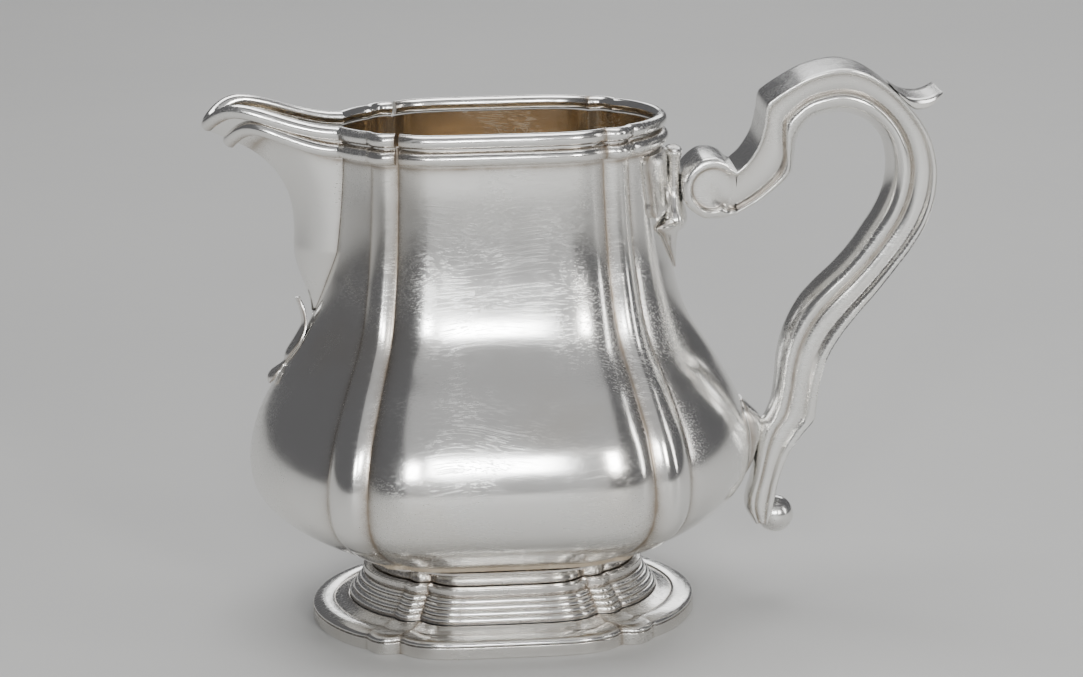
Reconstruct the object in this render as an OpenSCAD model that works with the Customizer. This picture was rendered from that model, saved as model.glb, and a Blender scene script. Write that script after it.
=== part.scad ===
// Silver cream jug: a lobed baluster body with an applied spout, a double wire rim,
// a stepped spreading foot and a scroll handle cast in two halves.
// Frame: +X points from the spout to the handle, the long panels face -Y and +Y, +Z is up.
// Origin: in the plane that the foot stands on, under the middle of the whole length from lip to handle,
// which is 13.3 mm from the body's own axis. All sizes are in millimetres.

/* [Body] */
// Half the length of the belly, from the axis to its widest point at the handle end
belly_half_length = 44.1; // [43.5:0.1:44.6]
// Half the depth of the belly, from the axis to the middle of a long panel
belly_half_depth = 32.3; // [31.6:0.1:33]
// Half the length of the neck, under the rim wires
neck_half_length = 28.2; // [28:0.1:28.4]
// Half the depth of the neck, under the rim wires
neck_half_depth = 15.6; // [15.2:0.1:16]
// Height at which the belly is widest
belly_height = 30; // [29:0.5:31]
// Height of the wall's top edge, which carries the upper rim wire
wall_top = 87.6; // [87:0.1:88]
// Thickness of the silver sheet
sheet = 0.8; // [0.7:0.05:0.9]

/* [Spout] */
// How far the lip reaches past the end of the neck
lip_reach = 20.6; // [19.4:0.2:21.2]
// How far the lip rises above the rest of the rim
lip_rise = 3.9; // [3.4:0.1:4.2]
// Height at which the spout leaves the body
spout_foot = 56; // [54:0.5:58]
// Half the width of the spout where its sides leave the end panel
spout_half_width = 6.2; // [5.8:0.1:6.6]

/* [Rim] */
// Height of the upper rim wire
upper_wire = 2.4; // [2.2:0.1:2.6]
// Height of the lower rim wire
lower_wire = 2.6; // [2.4:0.1:2.7]

/* [Foot] */
// Half the length of the foot at the plane that it stands on
foot_half_length = 34; // [33:0.1:35]
// Half the depth of the foot at the plane that it stands on
foot_half_depth = 24.5; // [24:0.1:25]
// Height of the upright band around the foot's edge
base_band = 2.2; // [2:0.1:2.4]

/* [Handle] */
// Width of the handle's back strap
strap_width = 11.4; // [10.8:0.2:11.8]
// Radius of the ball at the handle's lower end
ball_radius = 3.3; // [3:0.1:3.4]

/* [Hidden] */

body_axis = -13.3;  // x of the body's own axis, from which the shapes below are drawn
solder = 0.05;      // gap that the solder fills between two joined surfaces
seat_height = 14.6; // height of the body's lower edge

// A plan outline is [half length, half depth, crease x, crease y, corner x, corner y]: each long panel
// runs from the middle to a crease, a narrow corner lobe follows, and the end panel closes the outline.
belly_plan = [belly_half_length, belly_half_depth, 24.4, 29.4, 30.8, 24.4];
neck_plan = [neck_half_length, neck_half_depth, 17.4, 13.4, 21.6, 10.8];
seat_plan = [26.8, 18.8, 18.4, 16.8, 22, 14];
flange_plan = [foot_half_length, foot_half_depth, 19.4, 21.2, 24.9, 17.8];
waist_plan = [23.5, 15, 13.4, 12.6, 17, 10.3];

// Steps along a quarter of the outline: the end panel, the corner lobe and the long panel
end_steps = 6;
lobe_steps = 3;
panel_steps = 7;
quarter = end_steps + lobe_steps + panel_steps;
around = 4 * quarter;

function mix(a, b, share) = a + (b - a) * share;
function clamp01(x) = min(1, max(0, x));
function smooth(x) = let (c = clamp01(x)) c * c * (3 - 2 * c);
function bezier(p, t) =
    pow(1 - t, 3) * p[0] + 3 * t * pow(1 - t, 2) * p[1] + 3 * t * t * (1 - t) * p[2] + pow(t, 3) * p[3];

// One point of a Catmull-Rom curve through the points p, with u counting points from 0
function through(p, u) =
    let (k = min(len(p) - 2, floor(u)), t = u - k,
         a = p[max(0, k - 1)], b = p[k], c = p[k + 1], d = p[min(len(p) - 1, k + 2)])
    0.5 * (2 * b + (c - a) * t + (2 * a - 5 * b + 4 * c - d) * t * t +
        (3 * b - a - 3 * c + d) * pow(t, 3));

// How far the body has swelled from the neck (0) to the belly (1), going down from the wall's top
swell_points = [0, 0.03, 0.13, 0.31, 0.62, 0.89, 1];
swell_heights = [84.6, 76, 64, 54, 46, 38, belly_height];
function swell(z) = z >= swell_heights[0] ? 0 : z <= belly_height ? 1 :
    let (k = [for (i = [0:5]) if (z <= swell_heights[i] && z > swell_heights[i + 1]) i][0],
         t = (swell_heights[k] - z) / (swell_heights[k] - swell_heights[k + 1]))
    clamp01(through(swell_points, k + t));

// The body's plan at height z: an ogee from the neck to the belly, then tucked in to the seat
function body_plan(z) = z >= belly_height ? mix(neck_plan, belly_plan, swell(z)) :
    let (t = clamp01((z - seat_height) / (belly_height - seat_height)))
    mix(seat_plan, belly_plan, 1 - pow(1 - t, 2.6));

// How far the spout's ridge stands out from the end panel at height z
throat_reach = 5.7; // how far it stands out below the lip's own flare
function ridge_reach(z) = z < spout_foot - 2 ? 0 :
    throat_reach * smooth((z - spout_foot + 2) / 15) +
    (lip_reach - throat_reach) * pow(max(0, (z - 60) / (wall_top - 60)), 4.8);

// How far the lip is lifted at height z: t runs from the spout's kink (0) to its ridge (1); it droops there
lip_droop = 3;
function lip_lift(z, t) =
    (lip_rise * smooth(t / 0.6) - lip_droop * smooth((t - 0.58) / 0.42)) *
    pow(clamp01((z - 62) / 22), 3);

// A point of a quarter outline, grown by grow: s runs 0 to 1 along each of its three stretches
function panel_point(p, grow, s) =
    [(p[2] + 0.3 * grow) * s, p[3] + 0.95 * grow + (p[1] + 0.05 * grow - p[3]) * (1 - pow(s, 5))];
function lobe_point(p, grow, s) =
    let (a = [p[2] + 0.3 * grow, p[3] + 0.95 * grow], b = [p[4] + 0.75 * grow, p[5] + 0.66 * grow],
         out = [a[1] - b[1], b[0] - a[0]])
    mix(a, b, s) + out * 0.7 * s * (1 - s);
function end_point(p, grow, s) =
    bezier([[p[4] + 0.75 * grow, p[5] + 0.66 * grow],
            [p[4] + 0.42 * (p[0] - p[4]) + 0.5 * grow, p[5] * 0.88 + 0.8 * grow],
            [p[0] + grow, p[5] * 0.46 + 0.7 * grow],
            [p[0] + grow, 0]], s);

// A point of the whole outline, with step i counted from the spout's ridge, round by -Y, to the handle;
// spread is the share of the end panel that is kept on the spout's side
function outline_point(p, grow, i, spread = 1) =
    let (j = i < 0 ? i + around : i % around, north = j > 2 * quarter, k = north ? around - j : j,
         east = k > quarter, q = east ? 2 * quarter - k : k,
         at = q < end_steps ? end_point(p, grow, (1 - q / end_steps) * (east ? 1 : spread))
            : q < end_steps + lobe_steps ? lobe_point(p, grow, 1 - (q - end_steps) / lobe_steps)
            : panel_point(p, grow, 1 - (q - end_steps - lobe_steps) / panel_steps))
    [east ? at[0] : -at[0], north ? at[1] : -at[1]];

// The spout's sides leave the end panel at a kink: this is the kink's distance from the middle at
// height z, and the share of the end panel, counted from the corner, at which it lies
function kink_half(z, grow = 0) =
    max(0, spout_half_width * pow(clamp01((z - spout_foot) / 12), 0.6) + 0.9 * grow);
kink_search = 24; // steps in which the end panel is searched for the kink
function kink_share(z, grow) = let (p = body_plan(z), half = kink_half(z, grow))
    half <= 0 ? 1 : lookup(half, [for (k = [0:kink_search])
        let (share = 1 - k / kink_search) [end_point(p, grow, share)[1], share]]);

// A point of the spout's side: t runs from the kink (0) to the ridge (1)
function spout_point(z, grow, t) =
    let (p = body_plan(z), half = kink_half(z), kink = end_point(p, grow, kink_share(z, grow)),
         ridge = p[0] + ridge_reach(z) + grow)
    bezier([kink, [(kink[0] + ridge) / 2, 0.9 * (half + grow)],
            [ridge, 0.8 * half + 0.5 * grow], [ridge, 0]], t);

// Triangles over a grid of points with the given number of rows and columns
function grid_faces(rows, columns, start = 0, flip = false, wrap = false) =
    [for (j = [0:rows - 2], i = [0:columns - (wrap ? 1 : 2)])
        let (a = start + j * columns + i, b = start + j * columns + (i + 1) % columns,
             c = b + columns, d = a + columns)
        each flip ? [[a, b, c], [a, c, d]] : [[a, c, b], [a, d, c]]];

function flatten(lists) = [for (list = lists) each list];

// A piece of sheet between an outer and an inner grid; wrap closes it around
module sheet_solid(outer, inner, wrap = false) {
    rows = len(outer);
    columns = len(outer[0]);
    n = rows * columns;
    last = wrap ? columns - 1 : columns - 2;
    top = (rows - 1) * columns;
    lower_edge = [for (i = [0:last]) let (a = i, b = (i + 1) % columns)
        each [[a, b, b + n], [a, b + n, a + n]]];
    upper_edge = [for (i = [0:last]) let (a = top + i, b = top + (i + 1) % columns)
        each [[a, b + n, b], [a, a + n, b + n]]];
    first_edge = wrap ? [] : [for (j = [0:rows - 2]) let (a = j * columns, b = a + columns)
        each [[a, b + n, b], [a, a + n, b + n]]];
    last_edge = wrap ? [] : [for (j = [0:rows - 2]) let (a = j * columns + columns - 1, b = a + columns)
        each [[a, b, b + n], [a, b + n, a + n]]];
    polyhedron(points = concat(flatten(outer), flatten(inner)),
        faces = concat(grid_faces(rows, columns, 0, false, wrap), grid_faces(rows, columns, n, true, wrap),
            lower_edge, upper_edge, first_edge, last_edge), convexity = 8);
}

// A ring that is closed both ways: each loop of the list goes once around the outline
module ring_solid(loops) {
    columns = len(loops[0]);
    closed = concat(loops, [loops[0]]);
    n = len(loops) * columns;
    faces = [for (face = grid_faces(len(closed), columns, 0, false, true)) [for (v = face) v % n]];
    polyhedron(points = flatten(loops), faces = faces, convexity = 8);
}

// A bar with closed ends: every section of the list is a loop of the same number of points
module bar_solid(sections) {
    columns = len(sections[0]);
    count = len(sections);
    n = count * columns;
    middle = function(section) [for (axis = [0:2]) mean([for (point = section) point[axis]])];
    start_cap = [for (i = [0:columns - 1]) [n, i, (i + 1) % columns]];
    last = (count - 1) * columns;
    end_cap = [for (i = [0:columns - 1]) [n + 1, last + (i + 1) % columns, last + i]];
    polyhedron(points = concat(flatten(sections), [middle(sections[0]), middle(sections[count - 1])]),
        faces = concat(grid_faces(count, columns, 0, false, true), start_cap, end_cap), convexity = 8);
}
function mean(list) = total(list) / len(list);
function total(list, i = 0) = i < len(list) ? list[i] + total(list, i + 1) : 0;

// Body: two stamped halves that meet along the ridge of the spout and under the handle
lower_rows = [seat_height, 15.4, 16.8, 19, 22, 25.5, belly_height];
upper_rows = [34.5, 39, 43.5, 48, 52, spout_foot, 61, 66, 71, 75, 78.5, 81.5, 84.2, 86, wall_top];
body_rows = concat(lower_rows, upper_rows);

module body_half(side) {
    face = function(grow) [for (z = body_rows) let (spread = kink_share(z, grow))
        [for (i = [0:2 * quarter]) let (at = outline_point(body_plan(z), grow, i, spread))
            [at[0], side * min(at[1], -solder / 2), z]]];
    if (side > 0) sheet_solid(face(0), face(-sheet));
    else sheet_solid(face(-sheet), face(0));
}

module body_front_half() { color("silver") body_half(1); }
module body_back_half() { color("silver") body_half(-1); }

module floor_plate() {
    outline = [for (i = [0:around - 1]) outline_point(seat_plan, -0.5, i)];
    color("silver") translate([0, 0, seat_height - solder - sheet]) linear_extrude(sheet) polygon(outline);
}

// Spout: a folded sheet over the opening in the end of the body
spout_rows = [for (z = upper_rows) if (z > spout_foot + 2) z];
spout_steps = 9;
spout_gap = 0.01; // share of the side that is left free at each kink, for the solder
module spout() {
    face = function(grow) [for (z = spout_rows) [for (i = [spout_steps:-1:-spout_steps])
        let (t = max(spout_gap, 1 - abs(i) / spout_steps), xy = spout_point(z, grow, t))
        [-xy[0], sign(i) * xy[1], z + lip_lift(z, t)]]];
    color("silver") sheet_solid(face(0), face(-sheet));
}

// A leaf that lies on the wall: half_widths are shares of the end panel, thickness is that of its middle
leaf_steps = 3;
leaf_edge = 0.35;
module wall_leaf(side, heights, half_widths, thickness) {
    face = function(thick) [for (k = [0:len(heights) - 1]) [for (i = [-leaf_steps:leaf_steps])
        let (dome = leaf_edge + (thickness[k] - leaf_edge) * (1 - pow(abs(i) / leaf_steps, 2)),
             z = heights[k],
             grow = solder + (thick ? dome : 0),
             xy = end_point(body_plan(z), grow, 1 - half_widths[k] * abs(i) / leaf_steps))
        [side * (xy[0] + (side < 0 ? ridge_reach(z) : 0)), side * sign(i) * xy[1], z]]];
    sheet_solid(face(true), face(false));
}

module spout_drop() {
    color("silver") wall_leaf(-1, [43.6, 44.4, 45.8, 47.2, 49, 51.5, 54, 56.5, 58.6],
        [0.03, 0.07, 0.08, 0.05, 0.09, 0.12, 0.1, 0.08, 0.05],
        [0.6, 1.5, 1.6, 0.7, 1.2, 1.3, 1.4, 1.8, 2]);
}

// Rim wires: each profile point is [distance out from the wall, height above the wire's middle]
function half_round(height, depth, steps = 6) =
    [for (k = [0:steps]) let (a = 180 * k / steps - 90) [solder + depth * cos(a), height / 2 * sin(a)]];
upper_profile = [for (k = [0:9]) let (a = 36 * k) [0.2 + 1.05 * cos(a), upper_wire / 2 * sin(a)]];
lower_profile = half_round(lower_wire, 1.4);
upper_middle = wall_top + solder + upper_wire / 2;
lower_middle = wall_top - 0.35 - lower_wire / 2;
mitre = end_steps + lobe_steps; // the crease nearest to the spout, where the wires are mitred

// The wires are cut square by a sliver of a step at both mitres
mitre_gap = 0.02;
rim_steps = concat([mitre + mitre_gap], [for (i = [mitre + 1:around - mitre - 1]) i],
    [around - mitre - mitre_gap]);
module rim_wire(profile, middle, row) {
    color("silver") bar_solid([for (i = rim_steps) [for (p = profile)
        let (xy = outline_point(body_plan(row), p[0], i)) [xy[0], xy[1], middle + p[1]]]]);
}

// One side of a lip wire as [x, y, lift], from the mitre over the corner and the kink to the ridge
function lip_side(row, out) =
    let (p = body_plan(row), share = kink_share(row, out))
    concat([for (q = [mitre_gap, 1, 2]) concat(lobe_point(p, out, q / lobe_steps), 0)],
        [for (k = [0:end_steps - 1]) concat(end_point(p, out, share * k / end_steps), 0)],
        [for (k = [0:spout_steps]) let (t = k / spout_steps)
            concat(spout_point(row, out, t), lip_lift(row, t))]);
module lip_wire(profile, middle, row) {
    sides = [for (p = profile) lip_side(row, p[0])];
    last = len(sides[0]) - 1;
    color("silver") bar_solid([for (k = [0:2 * last]) [for (m = [0:len(profile) - 1])
        let (at = sides[m][last - abs(last - k)])
        [-at[0], (k < last ? 1 : -1) * at[1], middle + profile[m][1] + at[2]]]]);
}

module upper_rim_wire() { rim_wire(upper_profile, upper_middle, wall_top); }
module lower_rim_wire() { rim_wire(lower_profile, lower_middle, lower_middle); }
module upper_lip_wire() { lip_wire(upper_profile, upper_middle, wall_top); }
module lower_lip_wire() { lip_wire(lower_profile, lower_middle, lower_middle); }

// Foot: each profile point is [share of the way from the waist to the flange, height]
waist_height = 9.8;
collar_top = seat_height - sheet - 2 * solder;
function foot_plan(share) = mix(waist_plan, flange_plan, share);
function foot_loop(share, z, grow = 0) =
    [for (i = [0:around - 1]) let (xy = outline_point(foot_plan(share), grow, i)) [xy[0], xy[1], z]];
module foot_ring(outer, inner) {
    color("silver") ring_solid(concat([for (p = outer) foot_loop(p[0], p[1])],
        [for (k = [len(inner) - 1:-1:0]) foot_loop(inner[k][0], inner[k][1], -sheet)]));
}

flare_rise = 3.2;
flare = concat([for (a = [0:22.5:90]) [0.36 * (1 - cos(a)), waist_height + 0.1 + flare_rise * sin(a)]],
    [[0.38, collar_top]]);
module foot_collar() { foot_ring(flare, flare); }

// Four reeds step down from the waist to the flange
reed_count = 4;
reed_foot = [0.35, 4.25];
reed_head = [0.1, 8];
reed_depth = [0.036, 0.017];
reeds = [for (k = [0:reed_count - 1]) each [for (a = [15:50:165])
    let (u = (k + (1 - cos(a)) / 2) / reed_count) mix(reed_foot, reed_head, u) + reed_depth * sin(a)]];
ring_foot = [0.37, 4.05];
waist_band = [[0.07, 8.2], [0.12, 8.45], [0.12, 9.55], [0.03, waist_height]];
module foot_reeded_ring() {
    foot_ring(concat([ring_foot], reeds, waist_band),
        [ring_foot, [0.3, 4.9], [0.08, 7.8], [0.03, waist_height]]);
}

// The flange's edge is a broad bead, with a cove between it and the reeds
module foot_flange() {
    foot_ring([[1, base_band + solder], [0.995, base_band + 0.5], [0.95, base_band + 0.85],
            [0.86, base_band + 1.15], [0.75, base_band + 1.25], [0.66, base_band + 1.15],
            [0.63, base_band + 0.9], [0.59, base_band + 1], [0.48, base_band + 1.3],
            [0.37, ring_foot[1] - solder]],
        [[1, base_band + solder], [0.72, base_band + 0.2], [0.37, base_band + 0.9]]);
}
base_depth = 1.6;
module foot_base_wire() {
    color("silver") ring_solid([foot_loop(1, 0), foot_loop(1, base_band),
        foot_loop(1, base_band, -base_depth), foot_loop(1, 0, -base_depth)]);
}

// Handle: back plate, collar, leaf drop and volute carry its upper end
plate_rows = [73.6, 75, 78, 81, 83.8];
module handle_back_plate() {
    color("silver") wall_leaf(1, plate_rows, [0.9, 0.94, 0.94, 0.94, 0.9], [0.7, 0.9, 1.05, 1.05, 0.9]);
}

collar_x = 31.25;
collar_squash = [0.6, 1.6, 1]; // the collar is thin towards the body and broad across it
collar_profile = [[0, 71.8], [1.3, 71.85], [2.3, 72.2], [2.7, 72.9], [2.55, 73.8], [2.1, 74.8], [1.55, 76.2],
    [1.3, 78], [1.3, 80.2], [1.5, 81.8], [1.75, 82.9], [1.4, 83.5], [0, 83.7]];
module handle_collar() {
    color("silver") translate([collar_x, 0, 0]) scale(collar_squash) rotate_extrude($fn = 40)
        polygon(collar_profile);
}
module handle_leaf_drop() {
    color("silver") wall_leaf(1, [62.2, 63.5, 65.2, 67.2, 69, 70.2, 71, 71.7],
        [0.04, 0.16, 0.34, 0.48, 0.6, 0.72, 0.76, 0.74], [0.5, 0.7, 1, 1.5, 2.4, 3.4, 4, 3.9]);
}

// The scroll: pairs of points on the back strap and on the inner roll, from the volute to the lower end
strap_line = [[41, 80.1], [42.9, 81.9], [44.7, 84.9], [45.6, 88.4], [46, 91.3], [47, 92.5],
    [50.3, 94.6], [54, 96.4], [59, 97.4], [63.2, 96.5], [67.2, 94], [71, 90.2], [74, 85.8], [75.5, 80.6],
    [75.5, 75.4], [74.2, 70.4], [71.8, 66], [68.8, 61.8], [65.4, 57.4], [62.1, 53.4], [59.2, 49.4],
    [57.2, 45.6], [56.2, 42], [55.8, 39.3], [55.5, 36.6], [55.2, 34.3], [53.4, 31.9], [51.3, 28.9],
    [49.9, 25.9], [49, 22.9], [48.4, 20.6], [46.2, 18.5], [45.3, 16.6]];
roll_line = [[41, 71.45], [44.9, 73.5], [48.2, 75.8], [50.9, 78.3], [51.5, 81], [52, 84.3],
    [53.2, 86.8], [55, 88.2], [59, 88.9], [62.4, 88.2], [64.9, 86.6], [66.8, 84.2], [67.6, 81.1],
    [67.7, 78], [67, 74.6], [65.5, 71.2], [63.6, 68.2], [61.4, 65], [58.6, 61.8], [55.4, 58.8],
    [52.4, 55.4], [50.1, 50.8], [48.9, 46], [48.5, 41.4], [48, 37.8], [47.1, 35.2], [46, 33.2],
    [45.4, 30.5], [45, 27], [44.4, 23.5], [43.5, 20], [43.1, 17.6], [43.8, 15.6]];
// Half of the scroll's section: [share of the way from strap to roll, share of half the strap's width]
scroll_section = [[0, 0], [0, 1], [0.1, 1], [0.13, 0.84], [0.48, 0.78], [0.56, 0.64], [0.66, 0.8],
    [0.86, 0.66], [0.97, 0.3], [1, 0]];
// The volute: the same section, wrapped round the end of the arm
volute_strap = [[32.2, 77.4], [32.4, 79.5], [33.5, 81.3], [35.2, 82.4], [37.2, 82.5], [39.1, 81.7],
    [40.4, 80.3], [40.95, 80.1]];
volute_roll = [[32.2, 76.4], [32.6, 74.6], [33.7, 73], [35.1, 72.1], [36.6, 71.6], [38.2, 71.35],
    [39.7, 71.25], [40.95, 71.42]];
// The scroll slims from the top of the grip to its lower end, by this share of its width
slim_share = 0.46;
slim_first = 13; // pair of points at which the slimming starts
slim_pairs = 18; // number of pairs over which it goes on
function slim(k) = 1 - slim_share * smooth((k - slim_first) / slim_pairs);
module handle_volute() {
    last = len(scroll_section) - 1;
    color("silver") bar_solid([for (k = [0:len(volute_strap) - 1]) [for (m = [0:2 * last - 1])
        let (p = scroll_section[last - abs(last - m)],
             at = mix(volute_strap[k], volute_roll[k], p[0]))
        [at[0], (m > last ? -1 : 1) * p[1] * strap_width / 2, at[1]]]]);
}
module handle_half(side) {
    sections = [for (k = [0:len(strap_line) - 1]) [for (p = scroll_section)
        let (at = mix(strap_line[k], roll_line[k], p[0]))
        [at[0], side * (solder / 4 + p[1] * slim(k) * strap_width / 2), at[1]]]];
    color("silver") bar_solid(side > 0 ? sections : [for (k = [len(sections) - 1:-1:0]) sections[k]]);
}
module handle_front_half() { handle_half(-1); }
module handle_back_half() { handle_half(1); }

module handle_thumb_tip() {
    outline = [[68.4, 93.1], [70.4, 92], [72.4, 91.5], [74.6, 91.7], [76.6, 92.6], [76.3, 91.6],
        [74.4, 90.3], [72.6, 89.9], [71.25, 90.2], [69.3, 92.05]];
    color("silver") translate([0, strap_width / 2, 0]) rotate([90, 0, 0]) linear_extrude(strap_width)
        polygon(outline);
}
ball_centre = [49, 15.8];
module handle_ball() {
    color("silver") translate([ball_centre[0], 0, ball_centre[1]]) sphere(r = ball_radius, $fn = 48);
}
module handle_lower_mount() {
    color("silver") wall_leaf(1, [20, 21.5, 25, 28.5, 30, 32, 34, 35, 37.2],
        [0.03, 0.08, 0.13, 0.17, 0.19, 0.2, 0.18, 0.14, 0.06],
        [0.5, 0.8, 0.9, 0.95, 1.05, 1.4, 1.7, 1.5, 0.5]);
}

module placed() { translate([body_axis, 0, 0]) children(); }

placed() body_front_half();
placed() body_back_half();
placed() floor_plate();
placed() spout();
placed() spout_drop();
placed() upper_rim_wire();
placed() lower_rim_wire();
placed() upper_lip_wire();
placed() lower_lip_wire();
placed() foot_collar();
placed() foot_reeded_ring();
placed() foot_flange();
placed() foot_base_wire();
placed() handle_back_plate();
placed() handle_collar();
placed() handle_leaf_drop();
placed() handle_volute();
placed() handle_front_half();
placed() handle_back_half();
placed() handle_thumb_tip();
placed() handle_ball();
placed() handle_lower_mount();
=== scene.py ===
import math
import bpy
import numpy as np
from mathutils import Matrix, Vector


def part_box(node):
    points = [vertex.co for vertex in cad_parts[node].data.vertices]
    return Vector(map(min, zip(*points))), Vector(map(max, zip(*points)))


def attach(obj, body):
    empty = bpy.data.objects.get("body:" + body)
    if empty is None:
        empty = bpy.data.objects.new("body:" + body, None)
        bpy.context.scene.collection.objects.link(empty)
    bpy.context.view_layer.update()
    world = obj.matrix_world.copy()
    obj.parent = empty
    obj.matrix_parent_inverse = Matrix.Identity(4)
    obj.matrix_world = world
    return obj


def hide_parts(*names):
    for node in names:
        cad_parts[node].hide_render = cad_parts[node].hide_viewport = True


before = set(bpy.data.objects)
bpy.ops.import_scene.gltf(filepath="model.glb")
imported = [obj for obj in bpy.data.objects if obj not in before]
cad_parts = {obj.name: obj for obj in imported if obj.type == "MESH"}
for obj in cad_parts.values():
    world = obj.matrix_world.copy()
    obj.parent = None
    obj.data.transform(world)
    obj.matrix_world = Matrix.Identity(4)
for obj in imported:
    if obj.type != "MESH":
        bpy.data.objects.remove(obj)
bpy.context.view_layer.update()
print("frame loaded")

# The shapes are drawn in millimetres about the body's own axis, then moved into the frame.
metres = 0.001
bodyAxis = round(sum(corner[0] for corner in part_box("foot_base_wire")) / 2 / metres, 2)
solder = 0.05  # gap between two soldered pieces

plans = {  # half length, half depth, crease x, crease y, corner x, corner y
    "belly": (44.1, 32.3, 24.4, 29.2, 30.8, 24.4),
    "neck": (28.2, 15.6, 17.4, 13.2, 21.6, 10.8),
    "seat": (26.8, 18.8, 18.4, 16.6, 22.0, 14.0),
    "flange": (34.0, 24.5, 19.4, 20.9, 24.9, 17.8),
    "waist": (23.5, 15.0, 13.4, 12.4, 17.0, 10.3),
}
bodySize = {
    "seatHeight": 14.6, "bellyHeight": 30.0, "wallTop": 87.6, "sheet": 0.8, "seam": 0.04, "tuck": 2.6,
    "swellHeights": (30, 38, 46, 54, 64, 76, 84.6), "swellShares": (1, 0.89, 0.62, 0.31, 0.13, 0.03, 0),
    "rows": 150, "creaseRound": 4, "grooveDepth": 0.5, "grooveWidth": 1.5,
}
spoutSize = {
    "foot": 56.0, "halfWidth": 6.2, "opening": 12.0, "throat": 5.7, "throatHeight": 15.0,
    "reach": 20.6, "flareFoot": 60.0, "flarePower": 4.8, "rise": 3.95, "riseShare": 0.6,
    "droop": 3.0, "droopFrom": 0.58, "liftFoot": 62.0, "liftHeight": 22.0, "closeRows": 78.0, "steps": 60,
}
wireLine = bodySize["wallTop"] - 3.4  # lower edge of the rim wires, where tarnish gathers
quarterSteps = (40, 30, 46)  # grid steps along the end panel, the corner lobe and the long panel


def smooth(value):
    # 3s^2 - 2s^3 of the value, held between 0 and 1
    share = np.clip(value, 0, 1)
    return share * share * (3 - 2 * share)


def through(xs, ys, x):
    # smooth curve through the given values, flat at both ends
    xs, ys = np.asarray(xs, float), np.asarray(ys, float)
    slope = np.gradient(ys, xs)
    slope[0] = slope[-1] = 0
    x = np.clip(x, xs[0], xs[-1])
    k = np.clip(np.searchsorted(xs, x, side="right") - 1, 0, len(xs) - 2)
    h = xs[k + 1] - xs[k]
    t = (x - xs[k]) / h
    return (ys[k] * (1 + 2 * t) * (1 - t) ** 2 + slope[k] * h * t * (1 - t) ** 2
            + ys[k + 1] * t * t * (3 - 2 * t) + slope[k + 1] * h * t * t * (t - 1))


def mixPlans(first, second, share):
    # first + share x (second - first), for every share
    first, second = np.array(plans[first]), np.array(plans[second])
    return first + np.multiply.outer(share, second - first)


def bodyPlan(z):
    # an ogee from the neck to the belly, then tucked in to the seat
    z = np.asarray(z, float)
    swell = np.clip(through(bodySize["swellHeights"], bodySize["swellShares"], z), 0, 1)
    t = np.clip((z - bodySize["seatHeight"]) / (bodySize["bellyHeight"] - bodySize["seatHeight"]), 0, 1)
    tucked = 1 - (1 - t) ** bodySize["tuck"]
    return np.where((z >= bodySize["bellyHeight"])[..., None],
                    mixPlans("neck", "belly", swell), mixPlans("seat", "belly", tucked))


def bezier(points, t):
    # (1-t)^3 a + 3t(1-t)^2 b + 3t^2(1-t) c + t^3 d
    weights = ((1 - t) ** 3, 3 * t * (1 - t) ** 2, 3 * t * t * (1 - t), t ** 3)
    return [sum(w * p[axis] for w, p in zip(weights, points)) for axis in (0, 1)]


tableSteps = (110, 40, 100)  # samples on the end panel, the corner lobe and the long panel
outlineSize = {  # the ways in which crease and corner move out, and how lobe, panel and groove are bent
    "creaseOut": (0.3, 0.95), "cornerOut": (0.75, 0.66), "bulge": 0.78, "panelPower": 5,
    "sinkShares": (0.35, 0.95),
}


def grooveAt(distance, depth):
    # the crease lies in a shallow groove: depth x exp(-(distance / width)^1.5)
    return depth * np.exp(-(distance / bodySize["grooveWidth"]) ** 1.5)


def quarterTable(plan, grow, rounding, groove=bodySize["grooveDepth"]):
    # a quarter of the outline for every row, where u runs from the end (0) by the corner (1) and the crease
    # (2) to the middle (3): a Bezier curve, a line bulged by s(1-s), and a panel that falls with 1 - s^5
    plan = np.atleast_2d(plan)
    w, b, nx, ny, cx, cy = (plan[:, k:k + 1] for k in range(6))
    grow = np.reshape(grow, (-1, 1)) + 0 * w
    ax, ay = (c + out * grow for c, out in zip((nx, ny), outlineSize["creaseOut"]))
    bx, by = (c + out * grow for c, out in zip((cx, cy), outlineSize["cornerOut"]))
    sinkX, sinkY = outlineSize["sinkShares"]
    s = 1 - np.arange(tableSteps[0]) / tableSteps[0]
    end = bezier([(bx, by), (cx + 0.42 * (w - cx) + 0.5 * grow, cy * 0.88 + 0.8 * grow),
                  (w + grow, cy * 0.46 + 0.7 * grow), (w + grow, 0 * w)], s[None, :])
    s = 1 - np.arange(tableSteps[1]) / tableSteps[1]
    bulge = outlineSize["bulge"] * s * (1 - s)
    sink = grooveAt(np.hypot(bx - ax, by - ay) * s, groove)
    lobe = [ax + (bx - ax) * s + (ay - by) * bulge - sinkX * sink,
            ay + (by - ay) * s + (bx - ax) * bulge - sinkY * sink]
    s = 1 - np.arange(tableSteps[2] + 1) / tableSteps[2]
    sink = grooveAt(ax * (1 - s), groove)
    fall = (b + 0.05 * grow - ny) * (1 - s ** outlineSize["panelPower"])
    panel = [ax * s - sinkX * sink, ay + fall - sinkY * sink]
    x = np.hstack([end[0], lobe[0], panel[0]])
    y = np.hstack([end[1] + 0 * w, lobe[1], panel[1]])
    for _ in range(rounding):  # rounds the creases a little, mirrored at both ends of the quarter
        wideX = np.hstack([x[:, 1:2], x, -x[:, -2:-1]])
        wideY = np.hstack([-y[:, 1:2], y, y[:, -2:-1]])
        x, y = (0.25 * v[:, :-2] + 0.5 * v[:, 1:-1] + 0.25 * v[:, 2:] for v in (wideX, wideY))
    return x, y


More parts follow.
